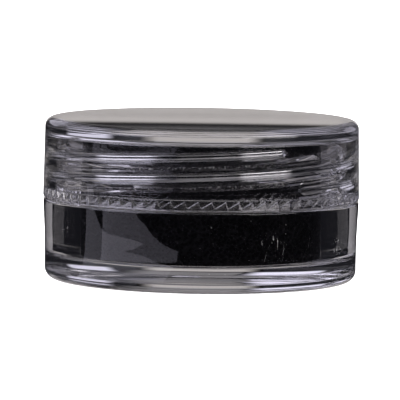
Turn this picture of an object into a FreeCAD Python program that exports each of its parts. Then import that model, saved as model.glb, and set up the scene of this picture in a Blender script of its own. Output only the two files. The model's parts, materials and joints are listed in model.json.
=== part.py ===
"""Clear screw-top sample vial with a black foam insert, in millimetres.

The vial stands on the XY plane with its axis on +Z, and the origin is the centre of its foot.
It has four pieces: a thick-walled cup, a screw lid, a thin sealing disc in the lid and a foam
plug in the cup. Cup and lid share a two-start right-hand thread.
"""

import FreeCAD, Part
import math
import os

# ---- driving dimensions -------------------------------------------------------------------
OVERALL_HEIGHT = 15.3
BODY_R = 15.0  # of the cup, at its shoulder
SHOULDER_Z = 7.65  # top of the cup's wide body, where lid and cup meet

# cup
WAIST_DRAW_IN = 0.17  # the body draws in this much a little below the shoulder
WAIST_DROP = 3.45
FOOT_DRAW_IN = 0.21  # just above the foot's rounding
FOOT_ROUND = 1.05
FOOT_RING_WIDTH = 1.84
FOOT_RECESS_DEPTH = 0.35
FLOOR_THICKNESS = 2.2
NECK_WALL = 1.45
NECK_TOP_ROUND = 0.2
BORE_CORNER_ROUND = 0.6
EDGE_ROUND = 0.22  # at the shoulder's outer edge and the lid's rim

# lid
LID_WALL = 1.22  # at the rim
LID_OVERHANG = 0.02  # how far its rim stands out past the shoulder
LID_DRAFT = 0.14  # the skirt narrows this much towards the plate
LID_TOP_ROUND = 0.85
LID_PLATE = 1.3
LID_CORNER_ROUND = 0.3
RIM_GAP = 0.07  # between the lid's rim and the shoulder

# ring of saw teeth in the lid's rim, behind an outer lip
TOOTH_COUNT = 72
TOOTH_LIP = 0.45  # thickness of the lip that hides the teeth from the side
TOOTH_TIP_RISE = 0.35  # above the shoulder
TOOTH_DEPTH = 0.65
TOOTH_PEAK_SHARE = 0.8  # of a tooth's pitch, where its long slope ends
TOOTH_FLAT = 0.06  # width of each blunt tip

# thread: ridges on cup and lid are alike, and both stop short of their walls' ends
THREAD_STARTS = 2
THREAD_LEAD = 3.7
THREAD_ROOM = 0.85  # from the neck's wall to the lid's bore
RIDGE_TIP_GAP = 0.25
RIDGE_FLANK_GAP = 0.46
RIDGE_BASE = 0.74
RIDGE_CREST = 0.2
RIDGE_ROOT_SINK = 0.15  # how deep a ridge is set into its wall
CUP_RIDGE_LOW_RISE = 0.74  # above the shoulder
CUP_RIDGE_TOP_DROP = 1.45  # below the neck's top
CUP_RIDGE_TOP_ANGLE = -37.0  # degrees about +Z from +X
LID_RIDGE_LOW_RISE = 1.75  # above the shoulder
LID_RIDGE_TOP_DROP = 0.97  # below the plate

# sealing disc
DISC_THICKNESS = 0.35
DISC_EDGE_GAP = 0.45  # from the lid's bore

# foam plug
FOAM_BORE_GAP = 0.05
FOAM_HEADROOM = 0.3  # between the plug and the sealing disc
FOAM_EDGE_ROUND = 0.7

# ---- worked out from those -----------------------------------------------------------------
LID_RIM_R = BODY_R + LID_OVERHANG
LID_TOP_R = LID_RIM_R - LID_DRAFT
LID_BORE_R = LID_RIM_R - LID_WALL
NECK_R = LID_BORE_R - THREAD_ROOM
BORE_R = NECK_R - NECK_WALL
WAIST_R = BODY_R - WAIST_DRAW_IN
WAIST_Z = SHOULDER_Z - WAIST_DROP
FOOT_SIDE_R = BODY_R - FOOT_DRAW_IN
FOOT_RECESS_R = FOOT_SIDE_R - FOOT_ROUND - FOOT_RING_WIDTH
FLOOR_Z = FLOOR_THICKNESS
PLATE_Z = OVERALL_HEIGHT - LID_PLATE  # underside of the lid's plate
DISC_Z = PLATE_Z - DISC_THICKNESS
NECK_TOP_Z = DISC_Z  # the neck carries the disc, and the disc carries the lid
RIM_Z = SHOULDER_Z + RIM_GAP
TOOTH_TIP_Z = SHOULDER_Z + TOOTH_TIP_RISE
TOOTH_OUTER_R = LID_RIM_R - TOOTH_LIP
DISC_R = LID_BORE_R - DISC_EDGE_GAP
FOAM_TOP_Z = DISC_Z - FOAM_HEADROOM
RIDGE_HEIGHT = THREAD_ROOM - RIDGE_TIP_GAP
RIDGE_SLOPE = (RIDGE_BASE - RIDGE_CREST) / 2 / RIDGE_HEIGHT  # of each flank
LID_RIDGE_DROP = RIDGE_BASE - RIDGE_SLOPE * THREAD_ROOM + RIDGE_FLANK_GAP
CUP_RIDGE_LOW_Z = SHOULDER_Z + CUP_RIDGE_LOW_RISE
CUP_RIDGE_TURNS = (NECK_TOP_Z - CUP_RIDGE_TOP_DROP - CUP_RIDGE_LOW_Z) / THREAD_LEAD
CUP_RIDGE_LOW_ANGLE = CUP_RIDGE_TOP_ANGLE - 360.0 * CUP_RIDGE_TURNS
LID_RIDGE_LOW_Z = SHOULDER_Z + LID_RIDGE_LOW_RISE
LID_RIDGE_TURNS = (PLATE_Z - LID_RIDGE_TOP_DROP - LID_RIDGE_LOW_Z) / THREAD_LEAD
LID_RIDGE_CLIMB = LID_RIDGE_LOW_Z + LID_RIDGE_DROP - CUP_RIDGE_LOW_Z
LID_RIDGE_LOW_ANGLE = CUP_RIDGE_LOW_ANGLE + 360.0 * LID_RIDGE_CLIMB / THREAD_LEAD
OVERSHOOT = 0.5  # how far a cutting tool runs past what it cuts


class Outline:
    """A half section in the XZ plane, drawn point by point and turned about Z."""

    def __init__(self, x, z):
        self.at = self.first = FreeCAD.Vector(x, 0, z)
        self.edges = []

    def line(self, x, z):
        end = FreeCAD.Vector(x, 0, z)
        self.edges.append(Part.LineSegment(self.at, end).toShape())
        self.at = end
        return self

    def arc(self, mid_x, mid_z, x, z):
        end = FreeCAD.Vector(x, 0, z)
        middle = FreeCAD.Vector(mid_x, 0, mid_z)
        self.edges.append(Part.Arc(self.at, middle, end).toShape())
        self.at = end
        return self

    def corner(self, x, z, radius, centre_x, centre_z):
        """A quarter round to (x, z) about a centre."""
        reach = radius * math.sqrt(0.5)
        side_x = math.copysign(reach, self.at.x + x - 2 * centre_x)
        side_z = math.copysign(reach, self.at.z + z - 2 * centre_z)
        return self.arc(centre_x + side_x, centre_z + side_z, x, z)

    def turned(self):
        self.line(self.first.x, self.first.z)
        face = Part.Face(Part.Wire(self.edges))
        return face.revolve(FreeCAD.Vector(0, 0, 0), FreeCAD.Vector(0, 0, 1), 360)


def ridge(wall_r, outward, low_z, low_angle, turns):
    """One helical ridge on a round wall, rising anticlockwise from its lower end.

    wall_r: the wall it stands on; outward: 1 on a neck, -1 in a bore.
    """
    root_r = wall_r - outward * RIDGE_ROOT_SINK
    crest_r = wall_r + outward * RIDGE_HEIGHT
    root_half = RIDGE_BASE / 2 + RIDGE_SLOPE * RIDGE_ROOT_SINK
    section = [
        (root_r, -root_half),
        (crest_r, -RIDGE_CREST / 2),
        (crest_r, RIDGE_CREST / 2),
        (root_r, root_half),
    ]
    points = [FreeCAD.Vector(r, 0, z) for r, z in section]
    path = Part.makeHelix(THREAD_LEAD, THREAD_LEAD * turns, wall_r)
    swept = Part.Wire(path.Edges).makePipeShell(
        [Part.makePolygon(points + points[:1])], True, True
    )
    swept.rotate(FreeCAD.Vector(0, 0, 0), FreeCAD.Vector(0, 0, 1), low_angle)
    swept.translate(FreeCAD.Vector(0, 0, low_z))
    return swept


def ridges(wall_r, outward, low_z, low_angle, turns):
    """All the starts of a thread, evenly spaced round the wall."""
    step = 360.0 / THREAD_STARTS
    return [
        ridge(wall_r, outward, low_z, low_angle + step * start, turns)
        for start in range(THREAD_STARTS)
    ]


def cup():
    """Thick-walled cup: foot ring, waisted body, shoulder and threaded neck round one bore."""
    outline = Outline(0, FOOT_RECESS_DEPTH)
    outline.line(FOOT_RECESS_R - FOOT_RECESS_DEPTH, FOOT_RECESS_DEPTH)
    outline.line(FOOT_RECESS_R, 0)
    outline.line(FOOT_SIDE_R - FOOT_ROUND, 0)
    outline.corner(
        FOOT_SIDE_R, FOOT_ROUND, FOOT_ROUND, FOOT_SIDE_R - FOOT_ROUND, FOOT_ROUND
    )
    outline.line(WAIST_R, WAIST_Z)
    edge_z = SHOULDER_Z - EDGE_ROUND
    middle_z = (WAIST_Z + edge_z) / 2
    middle_r = WAIST_R + (BODY_R - WAIST_R) * 0.3
    outline.arc(middle_r, middle_z, BODY_R, edge_z)
    edge_r = BODY_R - EDGE_ROUND
    outline.corner(edge_r, SHOULDER_Z, EDGE_ROUND, edge_r, edge_z)
    outline.line(NECK_R, SHOULDER_Z)
    top_z = NECK_TOP_Z - NECK_TOP_ROUND
    outline.line(NECK_R, top_z)
    outer_r = NECK_R - NECK_TOP_ROUND
    outline.corner(outer_r, NECK_TOP_Z, NECK_TOP_ROUND, outer_r, top_z)
    inner_r = BORE_R + NECK_TOP_ROUND
    outline.line(inner_r, NECK_TOP_Z)
    outline.corner(BORE_R, top_z, NECK_TOP_ROUND, inner_r, top_z)
    corner_z = FLOOR_Z + BORE_CORNER_ROUND
    corner_r = BORE_R - BORE_CORNER_ROUND
    outline.line(BORE_R, corner_z)
    outline.corner(corner_r, FLOOR_Z, BORE_CORNER_ROUND, corner_r, corner_z)
    outline.line(0, FLOOR_Z)
    thread = ridges(NECK_R, 1, CUP_RIDGE_LOW_Z, CUP_RIDGE_LOW_ANGLE, CUP_RIDGE_TURNS)
    return outline.turned().fuse(thread)


def tooth_gaps():
    """The wedges of air between the saw teeth, each with one long slope and one steep side."""
    pitch = 2 * math.pi * TOOTH_OUTER_R / TOOTH_COUNT
    peak = TOOTH_PEAK_SHARE * pitch
    tip_z, root_z = TOOTH_TIP_Z, TOOTH_TIP_Z + TOOTH_DEPTH
    inner_r = LID_BORE_R - OVERSHOOT
    section = [(TOOTH_FLAT, tip_z), (peak, root_z), (pitch, tip_z)]
    points = [FreeCAD.Vector(inner_r, y, z) for y, z in section]
    face = Part.Face(Part.makePolygon(points + points[:1]))
    gap = face.extrude(FreeCAD.Vector(TOOTH_OUTER_R - inner_r, 0, 0))
    gaps = []
    for number in range(TOOTH_COUNT):
        one = gap.copy()
        angle = 360.0 * number / TOOTH_COUNT
        one.rotate(FreeCAD.Vector(0, 0, 0), FreeCAD.Vector(0, 0, 1), angle)
        gaps.append(one)
    return gaps


def lid():
    """Screw lid: plate, skirt with the inner thread, and a rim with saw teeth behind its lip."""
    outline = Outline(0, PLATE_Z)
    corner_r = LID_BORE_R - LID_CORNER_ROUND
    corner_z = PLATE_Z - LID_CORNER_ROUND
    outline.line(corner_r, PLATE_Z)
    outline.corner(LID_BORE_R, corner_z, LID_CORNER_ROUND, corner_r, corner_z)
    outline.line(LID_BORE_R, TOOTH_TIP_Z)
    outline.line(TOOTH_OUTER_R, TOOTH_TIP_Z)
    outline.line(TOOTH_OUTER_R, RIM_Z)
    edge_r = LID_RIM_R - EDGE_ROUND
    edge_z = RIM_Z + EDGE_ROUND
    outline.line(edge_r, RIM_Z)
    outline.corner(LID_RIM_R, edge_z, EDGE_ROUND, edge_r, edge_z)
    top_z = OVERALL_HEIGHT - LID_TOP_ROUND
    outline.line(LID_TOP_R, top_z)
    flat_r = LID_TOP_R - LID_TOP_ROUND
    outline.corner(flat_r, OVERALL_HEIGHT, LID_TOP_ROUND, flat_r, top_z)
    outline.line(0, OVERALL_HEIGHT)
    thread = ridges(
        LID_BORE_R, -1, LID_RIDGE_LOW_Z, LID_RIDGE_LOW_ANGLE, LID_RIDGE_TURNS
    )
    return outline.turned().fuse(thread).cut(tooth_gaps())


def sealing_disc():
    """Thin clear disc between the neck's rim and the lid's plate, held in above the thread."""
    return Part.makeCylinder(DISC_R, DISC_THICKNESS, FreeCAD.Vector(0, 0, DISC_Z))


def foam_plug():
    """Foam plug that fills the bore from its floor to just under the sealing disc."""
    radius = BORE_R - FOAM_BORE_GAP
    corner_r = radius - FOAM_EDGE_ROUND
    corner_z = FLOOR_Z + FOAM_EDGE_ROUND
    outline = Outline(0, FLOOR_Z)
    outline.line(corner_r, FLOOR_Z)
    outline.corner(radius, corner_z, FOAM_EDGE_ROUND, corner_r, corner_z)
    outline.line(radius, FOAM_TOP_Z)
    outline.line(0, FOAM_TOP_Z)
    return outline.turned()


def write(name, shape):
    """One STEP file per piece, after a check that it is one closed solid."""
    solid = shape if shape.ShapeType == "Solid" else shape.Solids[0]
    if len(shape.Solids) != 1 or not solid.isValid() or solid.Volume <= 0:
        raise ValueError(f"{name} is not one valid solid")
    solid.exportStep(f"parts/{name}.step")
    box = solid.optimalBoundingBox()
    print(f"{name}: {solid.Volume:.1f} mm3, z {box.ZMin:.2f} to {box.ZMax:.2f}")


def main():
    os.makedirs("parts", exist_ok=True)
    write("vial_cup", cup())
    write("screw_lid", lid())
    write("sealing_disc", sealing_disc())
    write("foam_insert", foam_plug())


main()
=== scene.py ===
# %% [markdown]
# # A clear screw-top sample vial with a black foam plug
# The vial is two thick pieces of clear, glossy plastic, a thin clear disc and a plug of black foam.
# Almost everything the eye sees in it is light that was bent or thrown back inside the plastic, so
# the walls, ridges and teeth have to be real shapes at their real thickness: no painted pattern
# would follow the light when the view turns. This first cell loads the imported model, whose pieces
# give every place and size that the new surfaces start from.

# %% Load the frame
import json
import math

import bpy
import numpy as np
from mathutils import Matrix, Vector


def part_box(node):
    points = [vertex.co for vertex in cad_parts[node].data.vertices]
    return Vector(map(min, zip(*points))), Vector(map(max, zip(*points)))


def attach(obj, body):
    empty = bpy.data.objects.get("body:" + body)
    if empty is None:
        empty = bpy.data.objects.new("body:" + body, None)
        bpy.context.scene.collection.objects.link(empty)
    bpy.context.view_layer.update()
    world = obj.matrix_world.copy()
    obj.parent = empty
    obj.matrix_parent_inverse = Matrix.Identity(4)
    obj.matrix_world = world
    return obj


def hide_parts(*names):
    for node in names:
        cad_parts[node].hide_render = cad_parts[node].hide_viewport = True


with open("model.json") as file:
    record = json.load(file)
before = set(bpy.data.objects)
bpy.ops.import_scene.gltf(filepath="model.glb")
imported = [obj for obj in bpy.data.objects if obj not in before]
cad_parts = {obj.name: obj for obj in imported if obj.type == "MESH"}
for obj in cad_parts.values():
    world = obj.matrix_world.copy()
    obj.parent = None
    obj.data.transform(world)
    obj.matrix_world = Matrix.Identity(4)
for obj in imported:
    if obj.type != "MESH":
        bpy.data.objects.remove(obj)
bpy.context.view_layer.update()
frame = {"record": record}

MM = 0.001
TURN = 2 * math.pi
scene = bpy.context.scene

# %% [markdown]
# ## Sizes
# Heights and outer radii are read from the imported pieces. The thread's lead is read from the joint
# that lifts the lid, because the lid has to climb exactly one lead in each turn. What the boxes
# can't tell, such as a wall or a ridge's height, is named here in millimetres.

# %% Read the frame's sizes
def extent(node):
    """Largest radius, lowest height and highest height of a CAD piece, in millimetres."""
    low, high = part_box(node)
    return high.x / MM, low.z / MM, high.z / MM


BODY_R, FOOT_Z, NECK_TOP_Z = extent("vial_cup")
RIM_R, RIM_Z, TOP_Z = extent("screw_lid")
DISC_R, DISC_Z, PLATE_Z = extent("sealing_disc")
FOAM_R, FLOOR_Z, FOAM_TOP_Z = extent("foam_insert")
coupling = frame["record"]["behaviour"]["couplings"][0]
LEAD = coupling["ratio"] * TURN / MM
print(f"body radius {BODY_R:.2f}, rim at {RIM_Z:.2f}, top at {TOP_Z:.2f}, lead {LEAD:.3f} mm")

# %% Name the sizes that the boxes don't show
SHOULDER_Z = RIM_Z - 0.07
WAIST_R, WAIST_Z = BODY_R - 0.17, SHOULDER_Z - 3.45
FOOT_SIDE_R, FOOT_ROUND = BODY_R - 0.21, 1.05
RECESS_R, RECESS_DEPTH = FOOT_SIDE_R - FOOT_ROUND - 1.84, 0.35
LID_WALL, LID_DRAFT, LID_TOP_ROUND = 1.22, 0.14, 0.85
LID_BORE_R = RIM_R - LID_WALL
THREAD_ROOM = 0.85
NECK_R = LID_BORE_R - THREAD_ROOM
BORE_R = NECK_R - 1.45
EDGE_ROUND = 0.22

# %% [markdown]
# ## Outlines
# A moulded wall is a half section turned about the axis. Each half section is a short list of
# corners with a rounding radius. Writing the corners and letting a function cut the arcs keeps the
# list as short as the shape, and every rounding gets as many points as its angle needs.

# %% Rounded outlines
def rounded(corners, step=math.radians(9)):
    """Points (r, z) along straight runs whose corners are cut by tangent arcs.

    Each corner is (r, z, radius). An arc starts at radius * tan(turn / 2) before its corner, and
    its centre lies on the corner's bisector at radius / cos(turn / 2).
    """
    points = np.array([corner[:2] for corner in corners], float)
    radii = [corner[2] if len(corner) > 2 else 0 for corner in corners]
    made = [points[0]]
    for before, corner, after, radius in zip(points, points[1:], points[2:], radii[1:]):
        into, out = corner - before, after - corner
        into, out = into / np.linalg.norm(into), out / np.linalg.norm(out)
        cross = into[0] * out[1] - into[1] * out[0]
        turn = math.atan2(cross, into @ out)
        if radius == 0 or abs(turn) < 1e-6:
            made.append(corner)
            continue
        side = np.array([-into[1], into[0]]) * math.copysign(1, turn)
        start = corner - into * radius * math.tan(abs(turn) / 2)
        centre = start + side * radius
        angles = np.linspace(0, turn, max(3, round(abs(turn) / step)))
        arm = start - centre
        cos, sin = np.cos(angles), np.sin(angles)
        arc = np.stack([arm[0] * cos - arm[1] * sin, arm[0] * sin + arm[1] * cos], 1)
        made.extend(centre + arc)
    made.append(points[-1])
    return np.array(made)


# %% [markdown]
# ## Turning and welding
# Every piece is one grid: rows follow the half section and columns go once round the axis. The
# thread's rows climb as they go round, so the last column meets the first one a few rows higher.
# Instead of counting rows, points that share a place are welded, which also closes both poles.

# %% Grid to mesh
WELD = 1.37e-4  # mm; points nearer than this become one


def weld(points, corners):
    """Merge points that round to the same cell, and drop triangles that have lost a side."""
    keys = np.round(points / WELD + 0.27).astype(np.int64)
    _, first, where = np.unique(keys, axis=0, return_index=True, return_inverse=True)
    corners = where.reshape(-1)[corners]
    a, b, c = corners.T
    whole = (a != b) & (b != c) & (c != a)
    return points[first], corners[whole]


def grid_mesh(name, radius, height, angle):
    """Mesh of the surface x = r cos(t), y = r sin(t), z = h, for grids r and h by row and angle t.

    Rows run along the half section with the plastic on their left, so faces point outwards.
    """
    radius, height = np.broadcast_arrays(radius, height)
    points = np.stack([radius * np.cos(angle), radius * np.sin(angle), height], -1)
    rows, columns = radius.shape
    index = np.arange(rows * columns).reshape(rows, columns)
    a, b = index[:-1, :-1], index[:-1, 1:]
    c, d = index[1:, 1:], index[1:, :-1]
    corners = np.concatenate([np.stack(t, -1).reshape(-1, 3) for t in ((a, b, c), (a, c, d))])
    points, corners = weld(points.reshape(-1, 3), corners)
    mesh = bpy.data.meshes.new(name)
    mesh.from_pydata(points * MM, [], corners.tolist())
    mesh.validate()
    mesh.shade_smooth()
    mesh.set_sharp_from_angle(angle=math.radians(32))
    piece = bpy.data.objects.new(name, mesh)
    scene.collection.objects.link(piece)
    print(f"{name}: {len(points)} points, {len(corners)} triangles")
    return piece


# %% [markdown]
# ## The thread
# Cup and lid share a coarse thread with two starts. A ridge is a trapezium with softened corners,
# carried up a helix. The rows are laid along the ridges, not level, so that each edge of a ridge
# is an edge of the mesh all the way round and bends light in one clean line. A level grid would
# cut the edges into steps, and clear plastic would show every step twice.

# %% Ridges on a wall
STARTS = 2
PITCH = LEAD / STARTS
RIDGE_BASE, RIDGE_CREST, RIDGE_HEIGHT = 0.74, 0.2, THREAD_ROOM - 0.25
END_LENGTH = 0.5  # of a ridge's rounded end, along the ridge


def ridge_section():
    """Offsets along the axis and heights of half a thread's period: groove, flanks and crest."""
    base, crest = RIDGE_BASE / 2, RIDGE_CREST / 2
    section = rounded([
        (-PITCH / 2, 0), (-base, 0, 0.06), (-crest, RIDGE_HEIGHT, 0.09),
        (crest, RIDGE_HEIGHT, 0.09), (base, 0, 0.06), (PITCH / 2, 0),
    ], step=math.radians(14))
    return section[:-1]


def threaded(angle, wall_r, outward, low_z, high_z, first_z, last_z, phase_z):
    """Radius and height of a wall's rows between low_z and high_z, with its helical ridges.

    A row keeps its offset from a ridge's centre line, which climbs one lead in a turn. A ridge
    lives where its centre is between first_z and last_z. Towards its ends its width shrinks as a
    quarter circle and its height drops to nothing.
    """
    section = ridge_section()
    count_low = math.floor((low_z - LEAD - phase_z) / PITCH) - 1
    count_high = math.ceil((high_z - phase_z) / PITCH) + 1
    numbers = np.repeat(np.arange(count_low, count_high + 1), len(section))
    offset, rise = np.tile(section.T, count_high - count_low + 1)
    centre = phase_z + PITCH * numbers[:, None] + LEAD * angle[None, :] / TURN
    along = np.minimum(centre - first_z, last_z - centre) * TURN * wall_r / LEAD
    taper = np.sqrt(1 - (1 - np.clip(along / END_LENGTH, 0.03, 1)) ** 2)
    fade = np.clip(along / 0.16, 0, 1)
    narrow = np.abs(offset[:, None]) < 0.499 * PITCH
    height = centre + offset[:, None] * np.where(narrow, taper, 1)
    radius = wall_r + outward * rise[:, None] * fade
    inside = np.clip(height, low_z, high_z)
    radius = np.where(inside == height, radius, wall_r)
    return radius, inside


def stack(angle, *parts):
    """Join outlines and threaded walls into one grid. An outline's points repeat in all columns."""
    radii, heights = [], []
    for part in parts:
        radius, height = part if isinstance(part, tuple) else part.T[:, :, None]
        radii.append(np.broadcast_to(radius, (len(radius), len(angle))))
        heights.append(np.broadcast_to(height, (len(height), len(angle))))
    return np.concatenate(radii), np.concatenate(heights)


# %% Where the ridges run
CUP_RIDGE_FIRST_Z = SHOULDER_Z + 0.74
CUP_RIDGE_LAST_Z = NECK_TOP_Z - 1.45
CUP_RIDGE_TOP_ANGLE = math.radians(-37)
LID_RIDGE_FIRST_Z = SHOULDER_Z + 1.75
LID_RIDGE_LAST_Z = PLATE_Z - 0.97
RIDGE_FLANK_GAP = 0.46
flank_slope = (RIDGE_BASE - RIDGE_CREST) / 2 / RIDGE_HEIGHT
LID_RIDGE_DROP = RIDGE_BASE - flank_slope * THREAD_ROOM + RIDGE_FLANK_GAP
CUP_PHASE_Z = CUP_RIDGE_LAST_Z - LEAD * CUP_RIDGE_TOP_ANGLE / TURN
LID_PHASE_Z = CUP_PHASE_Z - LID_RIDGE_DROP

# %% [markdown]
# ## The cup
# The cup is thick: a floor of two millimetres, and a body wall of three. Its side is drawn in a
# little below the shoulder, which is what keeps the two halves of the closed vial from looking
# like one cylinder.

# %% Cup
def cup():
    """Half section from the foot's centre, up the outside, over the neck and down the bore."""
    angle = np.linspace(0, TURN, 601)
    outside = rounded([
        (0, RECESS_DEPTH), (RECESS_R - RECESS_DEPTH, RECESS_DEPTH, 0.15), (RECESS_R, 0, 0.2),
        (FOOT_SIDE_R, 0, FOOT_ROUND), (WAIST_R, WAIST_Z, 20), (BODY_R, SHOULDER_Z, EDGE_ROUND),
        (NECK_R, SHOULDER_Z, 0.12), (NECK_R, SHOULDER_Z + 0.2),
    ])
    neck = threaded(angle, NECK_R, 1, SHOULDER_Z + 0.22, NECK_TOP_Z - 0.3,
                    CUP_RIDGE_FIRST_Z, CUP_RIDGE_LAST_Z, CUP_PHASE_Z)
    inside = rounded([
        (NECK_R, NECK_TOP_Z - 0.25), (NECK_R, NECK_TOP_Z, 0.2), (BORE_R, NECK_TOP_Z, 0.2),
        (BORE_R, FLOOR_Z, 0.6), (0, FLOOR_Z),
    ])
    return grid_mesh("cup", *stack(angle, outside, neck, inside), angle)


vial_cup = cup()

# %% [markdown]
# ## The lid
# The lid's rim holds a ring of saw teeth behind a thin outer lip. Each tooth has one long slope
# and one steep side. The columns are bunched so that every tip and every valley falls on a column,
# which keeps the teeth sharp.

# %% Lid
TOOTH_COUNT = 72
TOOTH_TIP_Z, TOOTH_DEPTH, TOOTH_LIP = SHOULDER_Z + 0.4, 0.58, 0.45
TOOTH_PEAK, TOOTH_FLAT = 0.8, 0.05  # as shares of a tooth's width
TOOTH_ROUND = 0.12  # where a gap's roof runs down into the lip
TOOTH_STEP = 0.12  # the bore opens this much just above the teeth


def tooth_valley(share):
    """Height of the air gap over its tip, by the share of a tooth's width that has been passed."""
    return TOOTH_DEPTH * np.interp(share, [0, TOOTH_FLAT, TOOTH_PEAK, 1], [0, 0, 1, 0])


def lid():
    """Half section from under the plate, down the threaded bore, round the rim and up to the top."""
    shares = np.array([0, TOOTH_FLAT, 0.2, 0.35, 0.5, 0.65, TOOTH_PEAK, 0.87, 0.94])
    whole = (np.arange(TOOTH_COUNT)[:, None] + shares).ravel()
    angle = np.append(whole, TOOTH_COUNT) * TURN / TOOTH_COUNT
    valley = TOOTH_TIP_Z + tooth_valley(np.append(whole % 1, 0))
    plate = rounded([
        (0, PLATE_Z), (LID_BORE_R, PLATE_Z, 0.45), (LID_BORE_R, PLATE_Z - 0.5),
    ])
    bore = threaded(angle, LID_BORE_R, -1, TOOTH_TIP_Z + TOOTH_DEPTH + 0.18, PLATE_Z - 0.51,
                    LID_RIDGE_FIRST_Z, LID_RIDGE_LAST_Z, LID_PHASE_Z)
    bore = bore[0][::-1], bore[1][::-1]
    outer_r = RIM_R - TOOTH_LIP
    bend = np.linspace(0, math.pi / 2, 5)[:, None]
    teeth = np.concatenate([
        np.array([[LID_BORE_R + TOOTH_STEP]]), outer_r - TOOTH_ROUND * (1 - np.sin(bend)),
    ]), valley - TOOTH_ROUND * np.concatenate([[[0]], 1 - np.cos(bend)])
    ledge_z = TOOTH_TIP_Z + TOOTH_DEPTH + 0.02
    ledge = rounded([
        (LID_BORE_R, ledge_z + 0.15), (LID_BORE_R, ledge_z + 0.06, 0.05),
        (LID_BORE_R + TOOTH_STEP, ledge_z + 0.04, 0.05), (LID_BORE_R + TOOTH_STEP, ledge_z),
    ])
    top_r = RIM_R - LID_DRAFT
    outside = rounded([
        (outer_r, RIM_Z), (RIM_R, RIM_Z, EDGE_ROUND),
        (top_r, TOP_Z, LID_TOP_ROUND), (0, TOP_Z),
    ])
    return grid_mesh("lid", *stack(angle, plate, bore, ledge, teeth, outside), angle)


screw_lid = lid()

# %% [markdown]
# ## The sealing disc and the foam plug
# The disc is a plain thin lens of soft plastic. The plug is open-cell foam that was punched out, so
# its sides are a little uneven and its face is pitted.

# %% Disc and plug
def disc():
    """A thin disc with a rounded edge, a hair thinner than its seat so that no faces coincide."""
    angle = np.linspace(0, TURN, 361)
    low, high = DISC_Z + 0.02, PLATE_Z - 0.02
    outline = rounded([(0, low), (DISC_R, low, 0.12), (DISC_R, high, 0.12), (0, high)])
    return grid_mesh("disc", *stack(angle, outline), angle)


def plug():
    """Turned outline whose radius swells and dips by a sum of a few slow waves, as cut foam does."""
    angle = np.linspace(0, TURN, 361)
    outline = rounded([
        (0, FLOOR_Z + 0.02), (FOAM_R, FLOOR_Z + 0.02, 0.7), (FOAM_R, FOAM_TOP_Z, 0.25),
        (0, FOAM_TOP_Z),
    ])
    radius, height = stack(angle, outline)
    waves = np.sin(3 * angle + 0.7) + 0.6 * np.sin(7 * angle + 2.1) + 0.4 * np.sin(11 * angle)
    radius = radius * (1 - 0.0012 * (1 + waves / 2))
    return grid_mesh("plug", radius, height, angle)


sealing_disc = disc()
foam_plug = plug()

# %% [markdown]
# ## Finishes
# Clear polystyrene bends light strongly, so its index is 1.59. It is hard, so turning the lid scuffs
# the crests of the cup's ridges, and handling leaves small patches of fine strokes and some dust.
# Each mark is a mask between 0 and 1, worked out from the place on the piece. Where a mask is 1 the
# plastic is no longer clear there: it is dull and pale, as a scratch is that scatters light.

# %% Node helpers
def new_material(name):
    material = bpy.data.materials.new(name)
    material.use_nodes = True
    tree = material.node_tree
    return material, tree, tree.nodes["Principled BSDF"]


def ramp(tree, value, low, high):
    """A number that goes from 0 to 1 while the value goes from low to high, or back if low > high."""
    node = tree.nodes.new("ShaderNodeMapRange")
    node.interpolation_type = "SMOOTHSTEP"
    node.inputs["From Min"].default_value = low
    node.inputs["From Max"].default_value = high
    tree.links.new(value, node.inputs["Value"])
    return node.outputs["Result"]


def math_node(tree, operation, first, second=None):
    node = tree.nodes.new("ShaderNodeMath")
    node.operation = operation
    for socket, value in zip(node.inputs, (first, second)):
        if isinstance(value, (int, float)):
            socket.default_value = value
        elif value is not None:
            tree.links.new(value, socket)
    return node.outputs[0]


def place(tree):
    """The point's own coordinates on the piece, in metres."""
    return tree.nodes.new("ShaderNodeTexCoord").outputs["Object"]


def moved(tree, centre=(0, 0, 0), turn=(0, 0, 0), stretch=(1, 1, 1)):
    """Coordinates about a centre, then turned and stretched."""
    shift = tree.nodes.new("ShaderNodeVectorMath")
    shift.operation = "SUBTRACT"
    shift.inputs[1].default_value = [c * MM for c in centre]
    tree.links.new(place(tree), shift.inputs[0])
    mapping = tree.nodes.new("ShaderNodeMapping")
    mapping.inputs["Rotation"].default_value = [math.radians(angle) for angle in turn]
    mapping.inputs["Scale"].default_value = stretch
    tree.links.new(shift.outputs[0], mapping.inputs["Vector"])
    return mapping.outputs["Vector"]


def noise(tree, vector, size, detail=2.0):
    """Smooth noise whose blobs are about the given size in millimetres."""
    node = tree.nodes.new("ShaderNodeTexNoise")
    node.inputs["Scale"].default_value = 0.6 / (size * MM)
    node.inputs["Detail"].default_value = detail
    tree.links.new(vector, node.inputs["Vector"])
    return node.outputs["Fac"]


# %% Marks on the plastic
def dust(tree, cell=0.75, speck=0.05, share=0.45):
    """Round specks, at most one in each cell of space, and in a share of the cells only."""
    node = tree.nodes.new("ShaderNodeTexVoronoi")
    node.inputs["Scale"].default_value = 1 / (cell * MM)
    tree.links.new(place(tree), node.inputs["Vector"])
    near = ramp(tree, node.outputs["Distance"], speck / cell, 0.4 * speck / cell)
    chosen = math_node(tree, "LESS_THAN", node.outputs["Color"], share)
    patchy = ramp(tree, noise(tree, place(tree), 6), 0.42, 0.6)
    return math_node(tree, "MULTIPLY", near, math_node(tree, "MULTIPLY", chosen, patchy))


def scuff(tree, centre, reach, turn, density=0.6):
    """Fine strokes inside a ball about a centre: noise drawn out in one direction, then cut."""
    spread = moved(tree, centre)
    length = tree.nodes.new("ShaderNodeVectorMath")
    length.operation = "LENGTH"
    tree.links.new(spread, length.inputs[0])
    inside = ramp(tree, length.outputs["Value"], reach * MM, 0.2 * reach * MM)
    strokes = noise(tree, moved(tree, centre, (0, turn, 0), (1, 1, 0.16)), 0.09, 3)
    sharp = ramp(tree, strokes, density - 0.02, density + 0.08)
    return math_node(tree, "MULTIPLY", inside, sharp)


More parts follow.
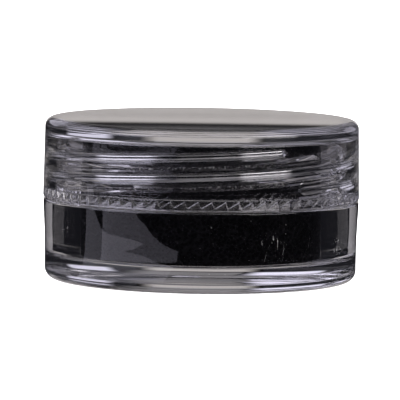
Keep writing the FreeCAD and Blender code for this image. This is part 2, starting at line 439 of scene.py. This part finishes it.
def worn_crests(tree):
    """Speckled wear where the cup's ridges are widest, above the shoulder."""
    split = tree.nodes.new("ShaderNodeSeparateXYZ")
    tree.links.new(place(tree), split.inputs[0])
    squares = [math_node(tree, "MULTIPLY", split.outputs[axis], split.outputs[axis]) for axis in "XY"]
    radius = math_node(tree, "SQRT", math_node(tree, "ADD", *squares))
    crest_r = NECK_R + RIDGE_HEIGHT
    on_crest = ramp(tree, radius, (crest_r - 0.10) * MM, (crest_r - 0.03) * MM)
    on_neck = math_node(tree, "GREATER_THAN", split.outputs["Z"], (SHOULDER_Z + 0.3) * MM)
    speckle = ramp(tree, noise(tree, place(tree), 0.1, 4), 0.5, 0.66)
    broad = ramp(tree, noise(tree, place(tree), 5), 0.35, 0.6)
    worn = math_node(tree, "MULTIPLY", on_crest, on_neck)
    return math_node(tree, "MULTIPLY", worn, math_node(tree, "MULTIPLY", speckle, broad))


# %% Clear plastic
def clear_plastic(name, tint, marks, dull=0.22):
    """Glass-like plastic; where the strongest of its marks is, it turns dull, rough and pale."""
    material, tree, shader = new_material(name)
    shader.inputs["IOR"].default_value = 1.59
    mask = dust(tree)
    for mark, *values in marks:
        mask = math_node(tree, "MAXIMUM", mask, mark(tree, *values))
    color = tree.nodes.new("ShaderNodeMix")
    color.data_type = "RGBA"
    color.inputs["A"].default_value = (*tint, 1)
    color.inputs["B"].default_value = (0.5, 0.48, 0.46, 1)
    tree.links.new(mask, color.inputs["Factor"])
    tree.links.new(color.outputs["Result"], shader.inputs["Base Color"])
    clear = math_node(tree, "SUBTRACT", 1, math_node(tree, "MULTIPLY", mask, dull))
    tree.links.new(clear, shader.inputs["Transmission Weight"])
    haze = ramp(tree, noise(tree, moved(tree, stretch=(1, 1, 0.3)), 1.5, 4), 0.5, 0.8)
    film = math_node(tree, "MULTIPLY", haze, 0.03)
    rough = math_node(tree, "ADD", film, math_node(tree, "MULTIPLY", mask, 0.45))
    tree.links.new(rough, shader.inputs["Roughness"])
    return material


cup_marks = [
    (worn_crests,),
    (scuff, (6.6, -13.1, 4.3), 1.7, 35, 0.6),
    (scuff, (12.9, -7.6, 4.0), 1.0, 10, 0.56),
    (scuff, (-12.6, -8.0, 5.4), 1.0, -60, 0.63),
    (scuff, (-2.9, -14.7, 6.3), 0.1, 0, 0.47),
    (scuff, (1.0, -14.9, 6.3), 0.08, 0, 0.45),
]
lid_marks = [
    (scuff, (4.7, -6.7, 15.3), 0.9, 80, 0.56),
    (scuff, (-9.0, 4.0, 15.3), 2.5, 40, 0.66),
]
cup_plastic = clear_plastic("clear cup plastic", (0.975, 0.97, 0.985), cup_marks)
lid_plastic = clear_plastic("clear lid plastic", (0.975, 0.97, 0.985), lid_marks)
disc_plastic = clear_plastic("clear disc plastic", (0.97, 0.97, 0.97), [])


# %% [markdown]
# ## Black foam
# Open-cell foam is a web of thin struts round small holes. Bumps follow the distance to the nearest
# cell's middle, and the holes are darker than the struts, because light goes in and hardly comes out.

# %% Foam
def black_foam(cell=0.3):
    material, tree, shader = new_material("black foam")
    node = tree.nodes.new("ShaderNodeTexVoronoi")
    node.inputs["Scale"].default_value = 1 / (cell * MM)
    tree.links.new(place(tree), node.inputs["Vector"])
    strut = ramp(tree, node.outputs["Distance"], 0.25, 0.75)
    color = tree.nodes.new("ShaderNodeMix")
    color.data_type = "RGBA"
    color.inputs["A"].default_value = (0.0012, 0.0012, 0.0014, 1)
    color.inputs["B"].default_value = (0.0055, 0.0054, 0.0058, 1)
    tree.links.new(strut, color.inputs["Factor"])
    tree.links.new(color.outputs["Result"], shader.inputs["Base Color"])
    bump = tree.nodes.new("ShaderNodeBump")
    bump.inputs["Distance"].default_value = 0.12 * MM
    tree.links.new(strut, bump.inputs["Height"])
    tree.links.new(bump.outputs["Normal"], shader.inputs["Normal"])
    shader.inputs["Roughness"].default_value = 0.95
    shader.inputs["Specular IOR Level"].default_value = 0.02
    return material


# %% Put pieces on their bodies
for piece, node, body, slot, material in (
    (vial_cup, "vial_cup", "cup", "clear_cup", cup_plastic),
    (screw_lid, "screw_lid", "lid", "clear_lid", lid_plastic),
    (sealing_disc, "sealing_disc", "disc", "clear_disc", disc_plastic),
    (foam_plug, "foam_insert", "cup", "black_foam", black_foam()),
):
    piece.data.materials.append(material)
    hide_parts(node)
    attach(piece, body)
    piece.visible_shadow = piece is foam_plug
    print(f"{piece.name} rides on {body} and stands for {node}")

# %% [markdown]
# ## Stage
# The vial stands on a wide pale floor, set a little below the foot so that the two faces never share
# a plane. The floor stays out of reflections and refractions. Otherwise the clear walls would fill
# with its white, and the plastic would lose the dark lines that give it its shape.

# %% Stage
FLOOR_HALF, FLOOR_HEIGHT = 20, -0.0003


def square(name, half, z, material):
    mesh = bpy.data.meshes.new(name)
    corners = [(-half, -half, z), (half, -half, z), (half, half, z), (-half, half, z)]
    mesh.from_pydata(corners, [], [(0, 1, 2, 3)])
    mesh.materials.append(material)
    obj = bpy.data.objects.new(name, mesh)
    scene.collection.objects.link(obj)
    return obj


def pale_floor():
    material, tree, shader = new_material("pale floor")
    shader.inputs["Base Color"].default_value = (0.93, 0.93, 0.93, 1)
    shader.inputs["Roughness"].default_value = 0.9
    return material


floor = square("floor", FLOOR_HALF, FLOOR_HEIGHT, pale_floor())
floor.visible_glossy = False
floor.visible_transmission = False
print(f"floor {2 * FLOOR_HALF} m wide, {-FLOOR_HEIGHT / MM:.1f} mm below the foot")

# %% [markdown]
# ## Studio air
# Where a ray leaves the plastic and meets no lamp, it sees the room. A nearly dark room keeps the
# plastic's dark bands dark. It is a little lighter above than below, as over a table.

# %% Studio air
def studio_air(below, above):
    """World light that changes smoothly from one grey below the horizon to another above it."""
    world = bpy.data.worlds.new("studio air")
    world.use_nodes = True
    tree = world.node_tree
    way = tree.nodes.new("ShaderNodeTexCoord")
    split = tree.nodes.new("ShaderNodeSeparateXYZ")
    ramp = tree.nodes.new("ShaderNodeMapRange")
    ramp.inputs["From Min"].default_value = -0.1
    ramp.inputs["From Max"].default_value = 0.3
    mix = tree.nodes.new("ShaderNodeMix")
    mix.data_type = "RGBA"
    mix.inputs["A"].default_value = (*below, 1)
    mix.inputs["B"].default_value = (*above, 1)
    tree.links.new(way.outputs["Generated"], split.inputs[0])
    tree.links.new(split.outputs["Z"], ramp.inputs["Value"])
    tree.links.new(ramp.outputs["Result"], mix.inputs["Factor"])
    tree.links.new(mix.outputs["Result"], tree.nodes["Background"].inputs["Color"])
    scene.world = world


studio_air(below=(0.007, 0.007, 0.009), above=(0.03, 0.03, 0.035))
print("air:", scene.world.name)

# %% [markdown]
# ## Softboxes
# Clear plastic shows its lamps and little else, so each lamp is a card with a size, a place and a
# soft edge. Two strong low ones, left and right, draw the bright lines along the ridges. Weaker ones
# behind and above light the lid's rounded edge and the thick foot. The cards face the vial, cast no
# shadow and hide from the camera.

# %% Softboxes
def way_to(azimuth, elevation):
    """Unit vector from the vial: azimuth 0 is the camera's side, and 90 is to its right."""
    az, el = math.radians(azimuth), math.radians(elevation)
    return Vector((math.sin(az) * math.cos(el), -math.cos(az) * math.cos(el), math.sin(el)))


def glow(name, color, half_width, half_height, fades):
    """Emission that is even in the middle and falls off over a share of the way to each edge."""
    material = bpy.data.materials.new(name)
    material.use_nodes = True
    tree = material.node_tree
    tree.nodes.clear()
    place = tree.nodes.new("ShaderNodeTexCoord")
    split = tree.nodes.new("ShaderNodeSeparateXYZ")
    tree.links.new(place.outputs["Object"], split.inputs[0])
    falls = []
    for axis, half, fade in zip("XY", (half_width, half_height), fades):
        size = tree.nodes.new("ShaderNodeMath")
        size.operation = "ABSOLUTE"
        tree.links.new(split.outputs[axis], size.inputs[0])
        fall = tree.nodes.new("ShaderNodeMapRange")
        fall.interpolation_type = "SMOOTHSTEP"
        fall.inputs["From Min"].default_value = half
        fall.inputs["From Max"].default_value = half * (1 - fade)
        tree.links.new(size.outputs[0], fall.inputs["Value"])
        falls.append(fall)
    both = tree.nodes.new("ShaderNodeMath")
    both.operation = "MULTIPLY"
    for number, fall in enumerate(falls):
        tree.links.new(fall.outputs["Result"], both.inputs[number])
    emit = tree.nodes.new("ShaderNodeEmission")
    emit.inputs["Color"].default_value = (*color, 1)
    tree.links.new(both.outputs[0], emit.inputs["Strength"])
    output = tree.nodes.new("ShaderNodeOutputMaterial")
    tree.links.new(emit.outputs[0], output.inputs["Surface"])
    return material


def softbox(name, azimuth, elevation, width, height, color, fades=(0.25, 0.25), distance=0.6):
    """A glowing rectangle that faces the vial; width and height are the angles it fills."""
    half_width = distance * math.tan(math.radians(width / 2))
    half_height = distance * math.tan(math.radians(height / 2))
    mesh = bpy.data.meshes.new(name)
    corners = [(-half_width, -half_height, 0), (half_width, -half_height, 0),
               (half_width, half_height, 0), (-half_width, half_height, 0)]
    mesh.from_pydata(corners, [], [(0, 1, 2, 3)])
    mesh.materials.append(glow(name, color, half_width, half_height, fades))
    panel = bpy.data.objects.new(name, mesh)
    way = way_to(azimuth, elevation)
    panel.location = way * distance
    panel.rotation_euler = way.to_track_quat("Z", "Y").to_euler()
    panel.visible_camera = False
    panel.visible_shadow = False
    scene.collection.objects.link(panel)
    return panel


COOL, NEUTRAL, WARM = (1, 0.97, 1.15), (1, 0.96, 1.0), (1, 0.94, 0.92)


def lit(strength, tint):
    """A light's colour: its tint, made stronger or weaker."""
    return tuple(strength * part for part in tint)


softbox("left softbox", -64, 16, 58, 28, lit(2.5, COOL), (0.35, 0.3))
softbox("left high softbox", -66, 46, 60, 40, lit(1, COOL), (0.2, 0.2), distance=0.65)
softbox("left back softbox", -108, 38, 34, 46, lit(1, COOL), (0.3, 0.3), distance=0.7)
softbox("right softbox", 52, 16, 48, 28, lit(2.5, NEUTRAL), (0.35, 0.3))
softbox("right high softbox", 28, 38, 40, 26, lit(1.25, NEUTRAL), (0.3, 0.3), distance=0.65)
softbox("right back softbox", 112, 50, 40, 34, lit(0.25, COOL), (0.3, 0.3), distance=0.7)
softbox("front fill", 0, 26, 44, 38, lit(0.5, NEUTRAL), (0.3, 0.3), distance=0.75)
softbox("ceiling", 0, 89, 50, 50, lit(0.5, NEUTRAL), (0.5, 0.5), distance=0.9)
softbox("back card", 180, 2, 34, 14, lit(0.5, WARM), (0.4, 0.2), distance=0.6)
softbox("high backdrop", -166, 28, 76, 38, lit(0.2, NEUTRAL), (0.4, 0.2), distance=0.75)
softbox("back left card", -150, 20, 36, 22, lit(1, COOL), (0.4, 0.3), distance=0.68)
softbox("back right card", 142, 11, 28, 20, lit(0.75, COOL), (0.4, 0.4), distance=0.68)
softbox("back sheet", 180, -8, 25.5, 12, lit(0.4, NEUTRAL), (0.06, 0.06), distance=0.55)
softbox("near back sheet", 180, -31, 64, 36, lit(0.6, WARM), (0.45, 0.3), distance=0.5)

# %% [markdown]
# ## Sheet on the table
# The cup's wall leans a little, so it mirrors the table close to the vial. A pale sheet that lies
# there shows as a slanting patch of light over the black foam, in two layers that overlap.

# %% Sheet on the table
SHEET_HEIGHT = -0.0002


def sheet(name, corners, color):
    """A flat glowing patch on the table, which shows only in reflections and through the plastic."""
    mesh = bpy.data.meshes.new(name)
    points = [(x * MM, y * MM, SHEET_HEIGHT) for x, y in corners]
    mesh.from_pydata(points, [], [tuple(range(len(points)))])
    material = bpy.data.materials.new(name)
    material.use_nodes = True
    tree = material.node_tree
    tree.nodes.clear()
    emit = tree.nodes.new("ShaderNodeEmission")
    emit.inputs["Color"].default_value = (*color, 1)
    output = tree.nodes.new("ShaderNodeOutputMaterial")
    tree.links.new(emit.outputs[0], output.inputs["Surface"])
    mesh.materials.append(material)
    patch = bpy.data.objects.new(name, mesh)
    patch.visible_camera = False
    patch.visible_diffuse = False
    patch.visible_shadow = False
    scene.collection.objects.link(patch)


sheet("left sheet", [
    (-14, -8), (-120, -8), (-120, -19), (-47, -21), (-36, -29), (-29, -32.5), (-22, -33.5), (-15, -31.5),
    (-8, -30), (-6, -18),
], lit(0.6, COOL))

# %% [markdown]
# ## Overhead light
# One large light makes the floor evenly bright. It reaches only the floor, so it adds nothing to the
# plastic, whose look belongs to the cards above.

# %% Overhead light for the floor
OVERHEAD_SIZE, OVERHEAD_RADIANCE = 3.0, 6.0
overhead_data = bpy.data.lights.new("overhead light", "AREA")
overhead_data.size = OVERHEAD_SIZE
overhead_data.energy = 4 * OVERHEAD_SIZE**2 * OVERHEAD_RADIANCE
overhead = bpy.data.objects.new("overhead light", overhead_data)
overhead.location = (0, 0, 1.2)
overhead.visible_glossy = False
overhead.visible_transmission = False
scene.collection.objects.link(overhead)
floor_only = bpy.data.collections.new("lit by the overhead light")
floor_only.objects.link(floor)
overhead.light_linking.receiver_collection = floor_only
print(f"overhead light: {OVERHEAD_SIZE:.0f} m wide, {overhead_data.energy:.0f} W")

# %% [markdown]
# ## Camera
# A long lens from just above the table flattens the lid to a thin ellipse and keeps its sides nearly
# upright. The camera looks at half the vial's height and is rolled by less than a degree.

# %% Camera
ELEVATION, DISTANCE, ROLL = math.radians(5.12), 0.468, math.radians(0.83)
camera_data = bpy.data.cameras.new("camera")
camera_data.sensor_width = 36
camera_data.lens = 443.5
camera_data.shift_x, camera_data.shift_y = -0.00275, -0.00425
camera_data.clip_start, camera_data.clip_end = 0.01, 100
camera = bpy.data.objects.new("camera", camera_data)
aim = Vector((0, 0, TOP_Z * MM / 2))
back = Vector((0, -math.cos(ELEVATION), math.sin(ELEVATION)))
camera.location = aim + back * DISTANCE
camera.rotation_euler = (
    back.to_track_quat("Z", "Y").to_matrix() @ Matrix.Rotation(ROLL, 3, "Z")
).to_euler()
scene.collection.objects.link(camera)
scene.camera = camera
print(f"camera {DISTANCE * 1000:.0f} mm away, {math.degrees(ELEVATION):.2f} degrees up")

# %% [markdown]
# ## Light paths
# A ray through the lid and the neck crosses four faces of plastic before it meets the foam, and one
# that passes beside the foam crosses as many again. A ray that runs out of bounces ends black, so
# the limits are set well above that.

# %% Render settings that the clear walls need
scene.view_settings.view_transform = "Standard"
scene.cycles.max_bounces = 32
scene.cycles.transmission_bounces = 32
scene.cycles.glossy_bounces = 16
scene.cycles.caustics_refractive = True
scene.cycles.caustics_reflective = True
print("bounces through plastic:", scene.cycles.transmission_bounces)
